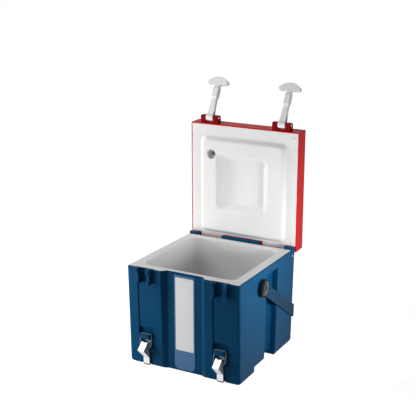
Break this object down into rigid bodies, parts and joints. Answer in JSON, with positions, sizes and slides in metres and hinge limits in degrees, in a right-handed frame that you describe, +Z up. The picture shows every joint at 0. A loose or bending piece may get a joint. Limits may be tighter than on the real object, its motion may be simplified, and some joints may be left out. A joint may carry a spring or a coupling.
{
  "type": "hard cooler box",
  "caption": "Square hard-sided cooler box with an open hinged lid, rubber T-latches on the lid, a bail handle round the back and draw latches low on the front.",
  "frame": {"origin": "centre of the tub's footprint, on the face it stands on", "axes": "+X to the right seen from the front, +Y to the back, +Z up"},
  "size_m": [0.3504, 0.444, 0.7387],
  "materials": {
    "shell_plastic": "satin",
    "liner_plastic": "satin",
    "strip_plastic": "satin",
    "window_plastic": "satin",
    "lid_plastic": "satin",
    "bracket_plastic": "satin",
    "button_plastic": "satin",
    "latch_rubber": "matte",
    "handle_plastic": "satin",
    "washer_plastic": "satin",
    "bright_steel": "polished",
    "steel": "satin",
    "pad_rubber": "matte",
    "foam": "matte"
  },
  "bodies": {
    "tub": {"outer_shell": "shell_plastic", "inner_liner": "liner_plastic", "foam_core": "foam", "front_strip": "strip_plastic", "sight_window": "window_plastic", "hinge_rod": "steel", "latch_base_left": "steel", "latch_base_right": "steel", "handle_pin_left": "steel", "handle_pin_right": "steel", "pivot_washer_left": "washer_plastic", "pivot_washer_right": "washer_plastic", "pivot_cap_left": "bright_steel", "pivot_cap_right": "bright_steel"},
    "lid": {"lid_shell": "lid_plastic", "lid_liner": "liner_plastic", "lid_foam": "foam", "port_button": "button_plastic", "latch_bracket_left": "bracket_plastic", "latch_bracket_right": "bracket_plastic", "latch_pin_left": "steel", "latch_pin_right": "steel"},
    "handle": {"handle": "handle_plastic"},
    "t_latch_left": {"t_latch_left": "latch_rubber"},
    "lever_left": {"lever_left": "bright_steel", "lever_pad_left": "pad_rubber"},
    "wire_loop_left": {"wire_loop_left": "steel"},
    "t_latch_right": {"t_latch_right": "latch_rubber"},
    "lever_right": {"lever_right": "bright_steel", "lever_pad_right": "pad_rubber"},
    "wire_loop_right": {"wire_loop_right": "steel"}
  },
  "joints": [
    {"name": "lid_hinge", "type": "hinge", "parent": "tub", "child": "lid", "pos_m": [0, 0.1765, 0.26075], "axis": [-1, 0, 0], "range_deg": [-87.6, 0]},
    {"name": "handle_hinge", "type": "hinge", "parent": "tub", "child": "handle", "pos_m": [0, -0.031, 0.231], "axis": [1, 0, 0], "range_deg": [0, 32]},
    {"name": "t_latch_hinge_left", "type": "hinge", "parent": "lid", "child": "t_latch_left", "pos_m": [-0.111, 0.1906, 0.62756], "axis": [-1, 0, 0], "range_deg": [-119.4, 73]},
    {"name": "lever_hinge_left", "type": "hinge", "parent": "tub", "child": "lever_left", "pos_m": [-0.111, -0.17, 0.066], "axis": [-1, 0, 0], "range_deg": [0, 95]},
    {"name": "wire_loop_hinge_left", "type": "hinge", "parent": "lever_left", "child": "wire_loop_left", "pos_m": [-0.111, -0.1683, 0.0576], "axis": [-1, 0, 0], "range_deg": [-72, 0]},
    {"name": "t_latch_hinge_right", "type": "hinge", "parent": "lid", "child": "t_latch_right", "pos_m": [0.111, 0.1906, 0.62756], "axis": [-1, 0, 0], "range_deg": [-119.4, 73]},
    {"name": "lever_hinge_right", "type": "hinge", "parent": "tub", "child": "lever_right", "pos_m": [0.111, -0.17, 0.066], "axis": [-1, 0, 0], "range_deg": [0, 95]},
    {"name": "wire_loop_hinge_right", "type": "hinge", "parent": "lever_right", "child": "wire_loop_right", "pos_m": [0.111, -0.1683, 0.0576], "axis": [-1, 0, 0], "range_deg": [-72, 0]}
  ],
  "couplings": [
    {"joint": "wire_loop_hinge_left", "follows": "lever_hinge_left", "ratio": -0.75},
    {"joint": "wire_loop_hinge_right", "follows": "lever_hinge_right", "ratio": -0.75}
  ]
}
